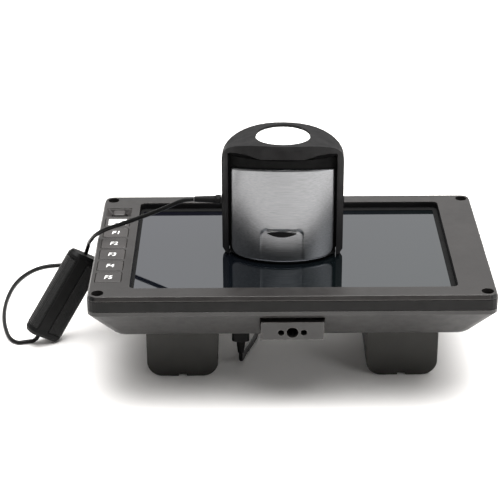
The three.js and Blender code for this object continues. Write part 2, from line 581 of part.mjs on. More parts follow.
const UPPER_ROUTE = [
  [-51.1, 0.1, 26.2], [-56.5, 0.3, 25.3], [-62, 0.8, 22.9], [-68, 1.2, 19.9], [-76, 1.8, 16.4],
  [-84.5, 2.6, 12.8], [-91.9, 3.8, 9.5], [-96.5, 5.1, 7.4], [-101, 6.6, 4.8], [-104.6, 9, 1.6],
  [-106.9, 13, -2], [-108.7, 18.1, -6.2], [-110.4, 23.4, -10.2], [-111.6, 27.2, -14.6],
];
const LOOP_ROUTE = [
  [-140.9, 14.7, -63.9], [-142, 14.4, -65.6], [-143.8, 14.1, 1.4 - TOP], [-146.2, 13.6, LEAD_Z],
  [-149, 12.9, LEAD_Z], [-152.2, 12.4, LEAD_Z],
  [-156.5, 16, LEAD_Z], [-160.8, 26.8, LEAD_Z], [-163.7, 39.8, LEAD_Z], [-165.2, 54.2, LEAD_Z],
  [-165.1, 69.1, LEAD_Z], [-163.4, 83.1, LEAD_Z], [-160, 93.9, LEAD_Z], [-155, 102.4, LEAD_Z],
  [-149.5, 107.3, LEAD_Z], [-143.8, 109.5, LEAD_Z], [-136, 110.6, LEAD_Z], [-120, 111, LEAD_Z],
  [-104, 111, LEAD_Z], [-88, 110.8, LEAD_Z], [-74, 110.4, LEAD_Z],
];
const TAIL_ROUTE = [
  [-44.2, 86, LEAD_Z], [-41.5, 79, LEAD_Z], [-36, 70, LEAD_Z], [-27.5, 60.5, LEAD_Z],
  [-20, 50, LEAD_Z], [-16.8, 37, LEAD_Z], [-17.5, 23.5, LEAD_Z], [-20.8, 10, LEAD_Z],
  [-24.6, -1, LEAD_Z], [-26.3, -8, 1.6 - TOP], [-26.7, -12.6, 4.2 - TOP], [-26.7, -14, 8.9 - TOP],
];

function addLead(parent) {
  const aside = new THREE.Vector3(0, WEIGHT_BORE, 0).applyQuaternion(weightTurn);
  const boreTop = weightTop.clone().add(aside).addScaledVector(weightAxis, 0.3);
  const boreLow = weightLow.clone().add(aside).addScaledVector(weightAxis, -0.3);
  piece(parent, 'lead_upper', tube([...UPPER_ROUTE, boreTop.toArray()], 16), 'rubber');
  piece(parent, 'lead_loop', tube([boreLow.toArray(), ...LOOP_ROUTE], 38), 'rubber');
  piece(parent, 'lead_tail', tube(TAIL_ROUTE, 24), 'rubber');
  const [inner, outer] = [COIL.mean - COIL.half, COIL.mean + COIL.half];
  const [low, high] = [0.1, 0.1 + 2 * COIL.half];
  const ring = [[inner, low + 1.5], [inner + 1.5, low], [outer - 1.5, low], [outer, low + 1.5],
    [outer, high - 1.5], [outer - 1.5, high], [inner + 1.5, high], [inner, high - 1.5], [inner, low + 1.5]];
  piece(parent, 'lead_coil', turned(ring, 20).translate(COIL.x, COIL.y, -TOP), 'rubber');
}

// ---- assembly -----------------------------------------------------------------------------
const model = new THREE.Group();
const monitor = new THREE.Group();
monitor.position.z = TOP;
model.add(monitor);
addFrontBezel(monitor);
addChassisFrame(monitor);
addRearCasing(monitor);
addScrews(monitor);
addMountBlock(monitor);
addScreen(monitor);
addBoards(monitor);
addKeys(monitor);
addJoystick(monitor);
Object.keys(BATTERY_X).forEach((side) => {
  addBattery(monitor, side);
  addLatch(monitor, side);
});
addConnectorBay(monitor);
addUsb(monitor);

const colorimeter = new THREE.Group();
colorimeter.position.set(SENSOR.x, SENSOR.y, GLASS.top);
colorimeter.rotation.z = THREE.MathUtils.degToRad(SENSOR.turn);
monitor.add(colorimeter);
addSensorCase(colorimeter);
addSensorPlates(colorimeter);
addPivots(colorimeter);
addArm(colorimeter);

addCounterweight(monitor);
addLead(monitor);

export default model;
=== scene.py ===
import math

import bmesh
import bpy
from mathutils import Matrix, Quaternion, Vector


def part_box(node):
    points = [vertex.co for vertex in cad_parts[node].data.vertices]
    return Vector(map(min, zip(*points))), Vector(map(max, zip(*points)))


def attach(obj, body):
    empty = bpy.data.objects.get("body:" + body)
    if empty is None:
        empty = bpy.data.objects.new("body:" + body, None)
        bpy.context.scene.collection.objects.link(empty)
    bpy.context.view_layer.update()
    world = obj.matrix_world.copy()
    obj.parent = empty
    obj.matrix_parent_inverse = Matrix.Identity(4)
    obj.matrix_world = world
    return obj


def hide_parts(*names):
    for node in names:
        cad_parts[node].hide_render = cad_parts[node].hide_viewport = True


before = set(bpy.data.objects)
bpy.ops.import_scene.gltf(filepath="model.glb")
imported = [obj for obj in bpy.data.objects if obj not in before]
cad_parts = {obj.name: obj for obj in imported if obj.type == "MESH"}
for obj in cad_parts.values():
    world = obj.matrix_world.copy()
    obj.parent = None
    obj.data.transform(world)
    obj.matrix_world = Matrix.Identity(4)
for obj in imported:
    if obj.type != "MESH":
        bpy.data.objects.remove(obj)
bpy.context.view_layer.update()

MM = 0.001
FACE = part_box("front_bezel")[1].z  # height of the monitor's face above the table
TOP = FACE / MM
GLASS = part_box("cover_glass")[1].z / MM

CAMERA = {"place": (-0.0209, -0.7854, 0.4445), "lens": 116.6, "yaw": -0.035, "pitch": 25.84, "roll": 0.363}

LEAD = 2.3 * MM  # diameter of the lead
LEAD_Z = 1.25  # its centreline where it lies on the table, in millimetres
COIL = {"x": -62, "y": 92, "mean": 12.8, "turns": 4, "layers": 4, "step": 2.4}

# The colorimeter's own frame, in millimetres: its middle on the glass and its turn about Z.
SENSOR = {"x": -3.9, "y": -2, "turn": -2.5, "height": 56.8}
SENSOR_FOOT = {"width": 28.1, "depth": 16.2, "side": 3.2}  # half width, half depth, half side
SENSOR_HEAD = {"width": 28, "depth": 10.5, "side": 2.4}
PLATE = {"low": 2, "edge": 50.2, "crown": 52.4, "half": 27, "thick": 1, "corner": 5, "out": 1.3}
PLATE_ROUND = 0.35  # how far its rim is rounded off
SCOOP = {"half": 11.5, "top": 20, "corner": 4, "depth": 1.05, "rim": 0.9, "foot": 0.35}
SLOT = {"z": 17.3, "half": 8, "rise": 1.5}
STRIP = {"inner": 27.9, "outer": 28.54, "depth": 4.4, "low": 4, "high": 56.5, "round": 0.1}

# The counterweight's axis, its roll about it and the spacing of its knurling.
WEIGHT_LEAN = (0.5112, 0.2401, 0.8253)
WEIGHT_ROLL = 30
KNURL = 0.75

# Details of the monitor's face, in millimetres.
GASKET = {"inset": 1.7, "left": 1.6, "right": 2.6, "front": 1, "back": 3.4, "over": 0.35, "under": 0.03,
          "corner": 2.5, "inner_corner": 1}
DISH = {"rim": (6.85, 5.7), "floor": (4.5, 4.4), "top": 0.35, "bottom": 3.3, "thick": 0.3,
        "rim_corner": 1, "floor_corner": 1.2}
LABEL = {"width": 4.1, "height": 3.7, "proud": 0.03, "sunk": 0.05}
ICON = {"bar": (10, 2, 0.08), "pitch": 2.9, "lift": -0.01, "round": 0.03}
WINDOW_WALL = {"drop": 0.9, "inset": 1.2}
# CORNER_FACET bounds the bezel's corner facets that carry a painted dark reflection.
CORNER_FACET = {"x": 99.9, "y": -58.6, "drop": 0.1}
CREASE = 28  # edges sharper than this many degrees are rounded on the smooth copies

# The lead's route in millimetres: X and Y from the middle of the monitor, Z above the
# table, in the same stretches as the CAD model's tubes.
WEIGHT_BORE = [(-112.98, 27.79, TOP - 18.83), (-140.28, 14.97, TOP - 62.9)]
UPPER_ROUTE = [
    (-51.1, 0.1, TOP + 26.2), (-56.5, 0.3, TOP + 25.3), (-62, 0.8, TOP + 22.9), (-68, 1.2, TOP + 19.9),
    (-76, 1.8, TOP + 16.4), (-84.5, 2.6, TOP + 12.8), (-91.9, 3.8, TOP + 9.5), (-96.5, 5.1, TOP + 7.4),
    (-101, 6.6, TOP + 4.8), (-104.6, 9, TOP + 1.6), (-106.9, 13, TOP - 2), (-108.7, 18.1, TOP - 6.2),
    (-110.4, 23.4, TOP - 10.2), (-111.6, 27.2, TOP - 14.6),
]
LOOP_ROUTE = [
    (-140.9, 14.7, TOP - 63.9), (-142, 14.4, TOP - 65.6), (-143.8, 14.1, 1.4), (-146.2, 13.6, LEAD_Z),
    (-149, 12.9, LEAD_Z), (-152.2, 12.4, LEAD_Z), (-156.5, 16, LEAD_Z), (-160.8, 26.8, LEAD_Z),
    (-163.7, 39.8, LEAD_Z), (-165.2, 54.2, LEAD_Z), (-165.1, 69.1, LEAD_Z), (-163.4, 83.1, LEAD_Z),
    (-160, 93.9, LEAD_Z), (-155, 102.4, LEAD_Z), (-149.5, 107.3, LEAD_Z), (-143.8, 109.5, LEAD_Z),
    (-136, 110.6, LEAD_Z), (-120, 111, LEAD_Z), (-104, 111, LEAD_Z), (-88, 110.8, LEAD_Z),
    (-74, 110.4, LEAD_Z),
]
TAIL_ROUTE = [
    (-41.5, 79, LEAD_Z), (-36, 70, LEAD_Z), (-27.5, 60.5, LEAD_Z), (-20, 50, LEAD_Z),
    (-16.8, 37, LEAD_Z), (-17.5, 23.5, LEAD_Z), (-20.8, 10, LEAD_Z), (-24.6, -1, LEAD_Z),
    (-26.3, -8, 1.6), (-26.7, -12.6, 4.2), (-26.7, -14, 8.9),
]


# ---- small helpers ------------------------------------------------------------------------
def linear(tone):
    """An sRGB hex colour as linear red, green, blue and alpha."""
    parts = [int(tone[i : i + 2], 16) / 255 for i in (1, 3, 5)]
    return [c / 12.92 if c <= 0.04045 else ((c + 0.055) / 1.055) ** 2.4 for c in parts] + [1]


def add_object(name, data):
    thing = bpy.data.objects.new(name, data)
    bpy.context.scene.collection.objects.link(thing)
    return thing


def add_mesh(name, vertices, faces, smooth=False):
    mesh = bpy.data.meshes.new(name)
    mesh.from_pydata(vertices, [], faces)
    mesh.update()
    thing = add_object(name, mesh)
    if smooth:
        mesh.polygons.foreach_set("use_smooth", [True] * len(mesh.polygons))
    return thing


def smooth_line(points, per_gap):
    """Points along a centripetal Catmull-Rom curve through the given ones."""
    points = [Vector(p) for p in points]
    ends = [points[0] * 2 - points[1]] + points + [points[-1] * 2 - points[-2]]
    line = []
    for p0, p1, p2, p3 in zip(ends, ends[1:], ends[2:], ends[3:]):
        knots = [0]
        for a, b in ((p0, p1), (p1, p2), (p2, p3)):
            knots.append(knots[-1] + max((b - a).length, 1e-6) ** 0.5)
        t0, t1, t2, t3 = knots
        for i in range(per_gap):
            t = t1 + (t2 - t1) * i / per_gap
            a1 = p0.lerp(p1, (t - t0) / (t1 - t0))
            a2 = p1.lerp(p2, (t - t1) / (t2 - t1))
            a3 = p2.lerp(p3, (t - t2) / (t3 - t2))
            b1 = a1.lerp(a2, (t - t0) / (t2 - t0))
            b2 = a2.lerp(a3, (t - t1) / (t3 - t1))
            line.append(b1.lerp(b2, (t - t1) / (t2 - t1)))
    return line + [points[-1]]


# ---- camera -------------------------------------------------------------------------------
def add_camera():
    yaw, pitch, roll = (math.radians(CAMERA[key]) for key in ("yaw", "pitch", "roll"))
    ahead = Vector((math.sin(yaw) * math.cos(pitch), math.cos(yaw) * math.cos(pitch), -math.sin(pitch)))
    right = Vector((math.cos(yaw), -math.sin(yaw), 0))
    down = ahead.cross(right)
    side = right * math.cos(roll) + down * math.sin(roll)
    up = right * math.sin(roll) - down * math.cos(roll)
    data = bpy.data.cameras.new("camera")
    data.sensor_width = 36
    data.lens = CAMERA["lens"]
    camera = add_object("camera", data)
    turn = Matrix((side, up, -ahead)).transposed()
    camera.matrix_world = Matrix.Translation(CAMERA["place"]) @ turn.to_4x4()
    bpy.context.scene.camera = camera


# ---- the lead -----------------------------------------------------------------------------
def coil_line():
    """The coil's turns, clockwise from above: each layer is wound in or out, then the next on it."""
    turns, layers, step = COIL["turns"], COIL["layers"], COIL["step"]
    outer = COIL["mean"] + step * (turns - 1) / 2
    start, per_turn, shift = math.radians(100), 24, 0.8
    line = []
    for turn in range(turns * layers):
        layer, place = divmod(turn, turns)
        inward = layer % 2 == 0
        index = place if inward else turns - 1 - place
        for i in range(per_turn):
            share = i / per_turn
            late = max(0, (share - shift) / (1 - shift))
            late = late * late * (3 - 2 * late)
            radius, height = outer - step * index, LEAD_Z + 0.05 + step * layer
            if place < turns - 1:
                radius += late * (-step if inward else step)
            elif layer < layers - 1:
                height += late * step
            angle = start - 2 * math.pi * share
            line.append((COIL["x"] + radius * math.cos(angle), COIL["y"] + radius * math.sin(angle), height))
    return line


def coil_exit():
    """Off the last turn, down its outside to the table."""
    outer = COIL["mean"] + COIL["step"] * (COIL["turns"] - 1) / 2
    high = LEAD_Z + COIL["step"] * (COIL["layers"] - 1)
    line = []
    for degrees, out, height in ((100, 0, high), (80, 0.6, high), (60, 2, high - 1.6), (40, 2.8, high - 4),
                                 (20, 2.9, LEAD_Z + 1.6), (0, 2.9, LEAD_Z)):
        angle = math.radians(degrees)
        reach = outer + out
        line.append((COIL["x"] + reach * math.cos(angle), COIL["y"] + reach * math.sin(angle), height))
    return line


def add_lead():
    first = smooth_line(UPPER_ROUTE + [WEIGHT_BORE[0]], 4)
    second = smooth_line([WEIGHT_BORE[1]] + LOOP_ROUTE, 4)
    last = smooth_line(coil_exit() + [(-43.6, 86.5, LEAD_Z)] + TAIL_ROUTE, 4)
    points = first + second + [Vector(p) for p in coil_line()] + last
    data = bpy.data.curves.new("lead", "CURVE")
    data.dimensions = "3D"
    data.bevel_depth = LEAD / 2
    data.bevel_resolution = 3
    data.use_fill_caps = True
    spline = data.splines.new("POLY")
    spline.points.add(len(points) - 1)
    for at, point in zip(spline.points, points):
        at.co = (*(point * MM), 1)
    spline.use_smooth = True
    lead = add_object("lead", data)
    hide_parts("lead_upper", "lead_loop", "lead_tail", "lead_coil")
    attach(lead, "monitor")
    return lead


def add_tie():
    """A hook-and-loop band round the coil's section."""
    inner = COIL["mean"] - COIL["step"] * COIL["turns"] / 2 - 0.1
    outer = COIL["mean"] + COIL["step"] * COIL["turns"] / 2 + 0.1
    low, high = 0.1, 0.15 + COIL["step"] * COIL["layers"]
    thick, half, bend, steps = 0.6, 3.5, 1.2, 5
    corners = [(outer - bend, low + bend, -90), (outer - bend, high - bend, 0),
               (inner + bend, high - bend, 90), (inner + bend, low + bend, 180)]
    ring = []
    for x, z, start in corners:
        for i in range(steps + 1):
            angle = math.radians(start + 90 * i / steps)
            ring.append((x, z, math.cos(angle), math.sin(angle), bend))
    heading = math.radians(205)
    along = Vector((math.cos(heading), math.sin(heading), 0))
    across = Vector((-math.sin(heading), math.cos(heading), 0))
    centre = Vector((COIL["x"], COIL["y"], 0))
    vertices = []
    for x, z, nx, nz, radius in ring:
        for grow, side in ((0, -half), (0, half), (thick, half), (thick, -half)):
            reach, height = x + nx * (radius + grow), z + nz * (radius + grow)
            spot = centre + along * reach + across * side + Vector((0, 0, max(height, 0.02)))
            vertices.append(spot * MM)
    count = len(ring)
    faces = []
    for i in range(count):
        j = (i + 1) % count
        for k in range(4):
            m = (k + 1) % 4
            faces.append((4 * i + k, 4 * i + m, 4 * j + m, 4 * j + k))
    tie = add_mesh("coil_tie", vertices, faces)
    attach(tie, "monitor")
    return tie


# ---- markings -----------------------------------------------------------------------------
def on_key(node):
    low, high = (Vector(corner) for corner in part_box(node))
    return Vector(((low.x + high.x) / 2, (low.y + high.y) / 2, high.z))


def add_label(node, words, body):
    """Raised white lettering in the middle of a key."""
    data = bpy.data.curves.new(f"{node}_label", "FONT")
    data.body = words
    data.size = 1
    data.offset = 0.012
    data.shear = 0.12
    data.extrude = 0.01
    data.resolution_u = 4
    text = add_object(f"{node}_text", data)
    bpy.context.view_layer.update()
    mesh = bpy.data.meshes.new_from_object(text.evaluated_get(bpy.context.evaluated_depsgraph_get()))
    bpy.data.objects.remove(text)
    low = Vector([min(v.co[k] for v in mesh.vertices) for k in range(3)])
    high = Vector([max(v.co[k] for v in mesh.vertices) for k in range(3)])
    middle = on_key(node)
    for v in mesh.vertices:
        v.co = (
            middle.x + ((v.co.x - low.x) / (high.x - low.x) - 0.5) * LABEL["width"] * MM,
            middle.y + ((v.co.y - low.y) / (high.y - low.y) - 0.5) * LABEL["height"] * MM,
            middle.z + (LABEL["proud"] if v.co.z > 0 else -LABEL["sunk"]) * MM,
        )
    mesh.update()
    label = add_object(f"{node}_label", mesh)
    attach(label, body)
    return label


def add_menu_icon():
    """A plain list icon: three raised bars."""
    middle = on_key("menu_button")
    width, height, thick = ICON["bar"]
    bars = bmesh.new()
    for row in (-1, 0, 1):
        spot = middle + Vector((0, row * ICON["pitch"], ICON["lift"])) * MM
        size = Matrix.Diagonal((width * MM, height * MM, thick * MM, 1))
        bmesh.ops.create_cube(bars, size=1, matrix=Matrix.Translation(spot) @ size)
    bmesh.ops.bevel(bars, geom=bars.edges[:], offset=ICON["round"] * MM, segments=2, affect="EDGES")
    mesh = bpy.data.meshes.new("menu_icon")
    bars.to_mesh(mesh)
    bars.free()
    icon = add_object("menu_icon", mesh)
    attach(icon, "menu_key")
    return icon


# ---- materials ----------------------------------------------------------------------------
class Finish:
    """A Principled material with its helper nodes, all in object coordinates."""

    def __init__(self, name, rough=0.5, metal=0.0, ior=1.5, coat=0.0, gloss=0.5):
        self.material = bpy.data.materials.new(name)
        self.material.use_nodes = True
        self.tree = self.material.node_tree
        self.shader = self.tree.nodes["Principled BSDF"]
        self.shader.inputs["Roughness"].default_value = rough
        self.shader.inputs["Metallic"].default_value = metal
        self.shader.inputs["IOR"].default_value = ior
        self.shader.inputs["Coat Weight"].default_value = coat
        self.shader.inputs["Specular IOR Level"].default_value = gloss
        self.shader.inputs["Coat Roughness"].default_value = 0.08
        self.place = self.node("ShaderNodeTexCoord").outputs["Object"]

    def node(self, kind, **values):
        made = self.tree.nodes.new(kind)
        for key, value in values.items():
            setattr(made, key, value)
        return made

    def link(self, source, target):
        self.tree.links.new(source, target)

    def noise(self, scale, detail=3.0, stretch=(1, 1, 1), rough=0.5):
        scaled = self.node("ShaderNodeVectorMath", operation="MULTIPLY")
        self.link(self.place, scaled.inputs[0])
        scaled.inputs[1].default_value = stretch
        made = self.node("ShaderNodeTexNoise")
        made.inputs["Scale"].default_value = scale
        made.inputs["Detail"].default_value = detail
        made.inputs["Roughness"].default_value = rough
        self.link(scaled.outputs[0], made.inputs["Vector"])
        return made.outputs["Fac"]

    def ranged(self, source, low, high, start=0.3, end=0.7):
        made = self.node("ShaderNodeMapRange")
        for key, value in (("From Min", start), ("From Max", end), ("To Min", low), ("To Max", high)):
            made.inputs[key].default_value = value
        self.link(source, made.inputs["Value"])
        return made.outputs["Result"]

    def math(self, operation, first, second=0.0):
        made = self.node("ShaderNodeMath", operation=operation)
        for socket, value in zip(made.inputs, (first, second)):
            if isinstance(value, (int, float)):
                socket.default_value = value
            else:
                self.link(value, socket)
        return made.outputs[0]

    def mixed(self, share, first, second):
        made = self.node("ShaderNodeMix", data_type="RGBA")
        self.link(share, made.inputs["Factor"])
        for socket, value in ((made.inputs["A"], first), (made.inputs["B"], second)):
            if isinstance(value, str):
                socket.default_value = linear(value)
            else:
                self.link(value, socket)
        return made.outputs["Result"]

    def along(self, direction, centre=(0, 0, 0)):
        """How far a point lies along a direction from a centre, in metres."""
        moved = self.node("ShaderNodeVectorMath", operation="SUBTRACT")
        self.link(self.place, moved.inputs[0])
        moved.inputs[1].default_value = centre
        made = self.node("ShaderNodeVectorMath", operation="DOT_PRODUCT")
        self.link(moved.outputs[0], made.inputs[0])
        made.inputs[1].default_value = direction
        return made.outputs["Value"]

    def edges(self, radius):
        """(mask that is 1 on edges, normal that rounds them)."""
        bevel = self.node("ShaderNodeBevel", samples=4)
        bevel.inputs["Radius"].default_value = radius * MM
        true = self.node("ShaderNodeNewGeometry").outputs["Normal"]
        dot = self.node("ShaderNodeVectorMath", operation="DOT_PRODUCT")
        self.link(bevel.outputs[0], dot.inputs[0])
        self.link(true, dot.inputs[1])
        return self.ranged(dot.outputs["Value"], 0, 1, 0.985, 0.8), bevel.outputs[0]

    def bump(self, source, depth, normal):
        made = self.node("ShaderNodeBump")
        made.inputs["Distance"].default_value = depth * MM
        made.inputs["Strength"].default_value = 1
        self.link(source, made.inputs["Height"])
        self.link(normal, made.inputs["Normal"])
        return made.outputs[0]


def moulded(name, dark, light, rough, grain=2600, depth=0.02, edge=0.35, wear_and_highlight=None, metal=0.0, coat=0.0,
            gloss=0.5, patches=()):
    """Painted metal, moulded plastic or rubber: cloudy colour, fine grain, and lighter edges of rubbed wear
    and painted edge highlight together.
    Each of the patches is a function that gives a mask of where the colour is set near black."""
    spread = min(0.08, rough / 2)
    finish = Finish(name, rough, metal, coat=coat, gloss=gloss)
    cloud = finish.ranged(finish.noise(38, 4), 0, 1)
    colour = finish.mixed(cloud, dark, light)
    speck = finish.noise(grain, 2)
    colour = finish.mixed(finish.ranged(speck, 0, 0.35, 0.55, 0.75), colour, light)
    mask, rounded = finish.edges(edge)
    # Lighter edges: rubbed wear and a painted edge highlight together.
    wear_and_highlight_share = finish.math("MULTIPLY", mask, finish.ranged(finish.noise(420, 3), 0.35, 1))
    colour = finish.mixed(wear_and_highlight_share, colour, wear_and_highlight or light)
    # The patches set the colour near black; on the bezel's corner facets this is a painted dark reflection.
    for patch in patches:
        colour = finish.mixed(patch(finish), colour, "#020202")
    finish.link(colour, finish.shader.inputs["Base Color"])
    shine = finish.ranged(finish.noise(160, 4), rough - spread, rough + spread)
    finish.link(shine, finish.shader.inputs["Roughness"])
    finish.link(finish.bump(speck, depth, rounded), finish.shader.inputs["Normal"])
    return finish


def paint(nodes, finish):
    for name in nodes:
        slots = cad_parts[name].data.materials
        if len(slots):
            for i in range(len(slots)):
                slots[i] = finish.material
        else:
            slots.append(finish.material)


def inside_window(finish):
    """The bezel's inner walls below the rim, coloured near black."""
    low, high = (Vector(corner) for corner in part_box("cover_glass"))
    middle, half = (low + high) / 2, (high - low) / 2
    x = finish.math("ABSOLUTE", finish.along((1, 0, 0), middle))
    y = finish.math("ABSOLUTE", finish.along((0, 1, 0), middle))
    below = finish.math("LESS_THAN", finish.along((0, 0, 1)), FACE - WINDOW_WALL["drop"] * MM)
    near_x = finish.math("LESS_THAN", x, half.x - WINDOW_WALL["inset"] * MM)
    near_y = finish.math("LESS_THAN", y, half.y - WINDOW_WALL["inset"] * MM)
    return finish.math("MULTIPLY", below, finish.math("MULTIPLY", near_x, near_y))


def corner_facet_painted_reflection(finish):
    """Painted dark reflection: the facets where the front corners of the bezel are rounded off, coloured
    near black for the dark they reflect.
    """
    reach = finish.math("ABSOLUTE", finish.along((1, 0, 0)))
    x = finish.math("GREATER_THAN", reach, CORNER_FACET["x"] * MM)
    y = finish.math("LESS_THAN", finish.along((0, 1, 0)), CORNER_FACET["y"] * MM)
    below = finish.math("LESS_THAN", finish.along((0, 0, 1)), FACE - CORNER_FACET["drop"] * MM)
    return finish.math("MULTIPLY", below, finish.math("MULTIPLY", x, y))


# Each look's edge colour stands for rubbed wear and a painted edge highlight together.
MOULDED = {
    # The bezel's corner patch is a painted dark reflection.
    "bezel": dict(dark="#1b1918", light="#232120", rough=0.38, grain=3200, depth=0.012, edge=0.4,
                  wear_and_highlight="#57534f", patches=(inside_window, corner_facet_painted_reflection)),
    "frame": dict(dark="#080807", light="#0d0c0c", rough=0.5, depth=0.012, wear_and_highlight="#282625", gloss=0.18),
    "casing": dict(dark="#171615", light="#1d1c1b", rough=0.4, depth=0.015, wear_and_highlight="#55524f", edge=0.5),
    "mount": dict(dark="#1e1d1c", light="#252423", rough=0.5, depth=0.015, wear_and_highlight="#8a8783", edge=0.4),
    "key": dict(dark="#232120", light="#322f2e", rough=0.55, grain=2200, depth=0.05, wear_and_highlight="#4a4744"),
    "black": dict(dark="#0a0a0a", light="#101010", rough=0.45, depth=0.012, wear_and_highlight="#2c2c2c", gloss=0.35),
    "arm": dict(dark="#060506", light="#0a090a", rough=0.58, grain=2800, depth=0.02, wear_and_highlight="#121112",
                gloss=0.22),
    "shell": dict(dark="#070707", light="#0c0c0c", rough=0.75, depth=0.012, gloss=0.15),
    "rubber": dict(dark="#040404", light="#080808", rough=0.55, depth=0.01, wear_and_highlight="#161616", gloss=0.15),
    "battery": dict(dark="#21201e", light="#282724", rough=0.5, grain=1800, depth=0.03,
                    wear_and_highlight="#3b3935", edge=0.6, gloss=0.3),
    "screw": dict(dark="#101010", light="#181818", rough=0.4, metal=0.6, grain=900, depth=0.006,
                  wear_and_highlight="#333333"),
    "steel": dict(dark="#6f7073", light="#8d8f92", rough=0.32, metal=1, grain=900, depth=0.006,
                  wear_and_highlight="#c4c6c8"),
    "metal": dict(dark="#9a9c9e", light="#b1b3b5", rough=0.4, metal=1, grain=700, depth=0.006,
                  wear_and_highlight="#d0d2d4"),
    "board": dict(dark="#143a22", light="#1e5230", rough=0.45, grain=500, depth=0.03, wear_and_highlight="#7a6a3a"),
    "panel": dict(dark="#060708", light="#0b0c0e", rough=0.25, grain=600, depth=0.004),
    "white": dict(dark="#e9e9e6", light="#fbfbf8", rough=0.5, grain=1500, depth=0.008, wear_and_highlight="#ffffff"),
    "lens": dict(dark="#7f97a8", light="#9fb4c4", rough=0.06, grain=300, depth=0.002, coat=1),
    "foam": dict(dark="#0d0d0d", light="#171717", rough=0.9, grain=1300, depth=0.25, gloss=0.2),
    "lead": dict(dark="#040404", light="#080808", rough=0.42, grain=2400, depth=0.008, coat=0.03,
                 gloss=0.15),
    "tie": dict(dark="#151515", light="#1f1f1f", rough=0.85, grain=1500, depth=0.2, gloss=0.2),
}


def make_finishes():
    made = {name: moulded(name, **values) for name, values in MOULDED.items()}
    made["silver"] = silver_finish()
    made["glass"] = glass_finish()
    made["grip"] = grip_finish()
    return made


def silver_finish():
    """Brushed metal, with the brushing across the plate."""
    finish = Finish("silver", 0.34, 1.0)
    streak = finish.noise(1500, 4, (0.04, 1, 1.6), 0.6)
    colour = finish.mixed(finish.ranged(streak, 0, 1, 0.25, 0.75), "#77787a", "#949597")
    # Painted highlight: the plate's edges are lightened to a pale grey.
    mask, rounded = finish.edges(0.3)
    colour = finish.mixed(mask, colour, "#cccccc")
    finish.link(colour, finish.shader.inputs["Base Color"])
    finish.link(finish.ranged(streak, 0.3, 0.4), finish.shader.inputs["Roughness"])
    finish.link(finish.bump(streak, 0.006, rounded), finish.shader.inputs["Normal"])
    finish.shader.inputs["Anisotropic"].default_value = 0.5
    return finish


def glass_finish():
    """A dark screen under a clear cover sheet, with faint smears and a painted reflection tint from bluish
    to greenish across it.
    """
    finish = Finish("glass", 0.02, 0.0, 2.3)
    smear = finish.noise(24, 5, (1, 2.5, 1))
    # Painted reflection: the base colour runs from bluish to greenish along this slant.
    reflection_tint_slant = finish.along((0.8, -0.6, 0))
    colour = finish.mixed(finish.ranged(reflection_tint_slant, 0, 1, -0.09, 0.09), "#0a0a12", "#070d0b")
    finish.link(colour, finish.shader.inputs["Base Color"])
    finish.link(finish.ranged(smear, 0.01, 0.05), finish.shader.inputs["Roughness"])
    finish.shader.inputs["Specular Tint"].default_value = (0.9, 0.94, 1, 1)
    return finish


def grip_finish():
    """The counterweight's knurled rubber: rows of fine pyramids set by its own axes, with painted shade in
    their grooves and painted highlight on their peaks and edges.
    """
    finish = Finish("grip", 0.5, gloss=0.2)
    axis = Vector(WEIGHT_LEAN).normalized()
    turn = Vector((0, 0, 1)).rotation_difference(axis) @ Quaternion((0, 0, 1), math.radians(WEIGHT_ROLL))
    across = turn @ Vector((1, 0, 0))
    pitch = KNURL * MM
    waves = []
    for direction in ((axis + across).normalized(), (axis - across).normalized()):
        phase = finish.math("MULTIPLY", finish.along(direction), 2 * math.pi / pitch)
        waves.append(finish.math("SINE", phase))
    height = finish.math("ADD", waves[0], waves[1])
    # Painted shade and highlight: the colour follows the knurl's height, dark in the grooves and lighter on
    # the peaks.
    colour = finish.mixed(finish.ranged(height, 0, 1, -1.5, 1.8), "#030303", "#141414")
    # Painted highlight: the edges are lightened.
    mask, rounded = finish.edges(0.3)
    colour = finish.mixed(mask, colour, "#141414")
    finish.link(colour, finish.shader.inputs["Base Color"])
    finish.link(finish.ranged(finish.noise(500, 3), 0.42, 0.58), finish.shader.inputs["Roughness"])
    finish.link(finish.bump(height, 0.06, rounded), finish.shader.inputs["Normal"])
    return finish


LOOKS = {
    "bezel": ["front_bezel"],
    "frame": ["chassis_frame"],
    "casing": ["rear_casing"],
    "mount": ["mount_block"],
    "key": ["menu_button", "f1_button", "f2_button", "f3_button", "f4_button", "f5_button", "joystick_cap"],
    "black": ["joystick_carrier", "joystick_gimbal", "battery_plate_left", "battery_plate_right",
              "connector_bay", "sensor_base"],
    "arm": ["diffuser_arm", "pivot_pin_left", "pivot_pin_right"],
    "shell": ["sensor_shell", "rear_plate"],
    "rubber": ["battery_latch_left", "battery_latch_right", "headphone_socket", "power_socket",
               "usb_plug_body", "plug_strain_relief", "cable_boot", "weight_front_shell",
               "weight_rear_shell"],
    "grip": ["weight_grip_left", "weight_grip_right"],
    "battery": ["battery_left", "battery_right"],
    "screw": ["bezel_screw_1", "bezel_screw_2", "bezel_screw_3", "bezel_screw_4"],
    "steel": ["video_socket_in", "video_socket_out", "hdmi_socket", "usb_socket", "usb_plug_shell",
              "weight_slug"],
    "metal": ["backlight_tray", "heat_sink"],
    "board": ["main_board", "button_board", "sensor_board"],
    "panel": ["lcd_panel"],
    "glass": ["cover_glass"],
    "white": ["diffuser_disc"],
    "lens": ["sensor_lens"],
    "foam": ["foam_pad"],
}


